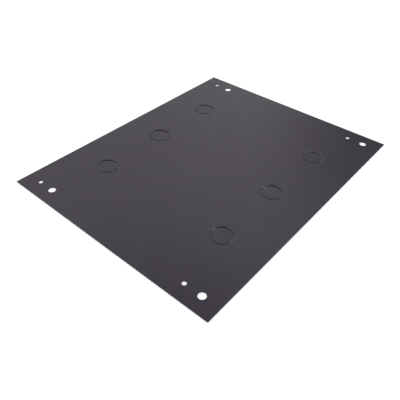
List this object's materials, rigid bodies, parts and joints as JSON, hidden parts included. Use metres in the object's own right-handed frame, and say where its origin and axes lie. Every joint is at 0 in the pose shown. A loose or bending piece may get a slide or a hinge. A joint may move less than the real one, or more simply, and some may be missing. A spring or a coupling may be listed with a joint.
{
  "type": "cover plate",
  "caption": "Flat rectangular sheet-steel cover plate with paired large and small fixing holes near its corners and round cable knockouts in two columns.",
  "frame": {"origin": "middle of the plate at the level it rests on, which is the foot of the knockout discs, 0.4 mm below the underside of the sheet", "axes": "+X along the short side, +Y along the long side, +Z out of the outer face, the face that shows when the plate is fitted"},
  "size_m": [0.4, 0.5, 0.0016],
  "materials": {
    "powder_coat": "satin"
  },
  "bodies": {
    "root": {"cover_plate": "powder_coat"}
  },
  "joints": []
}
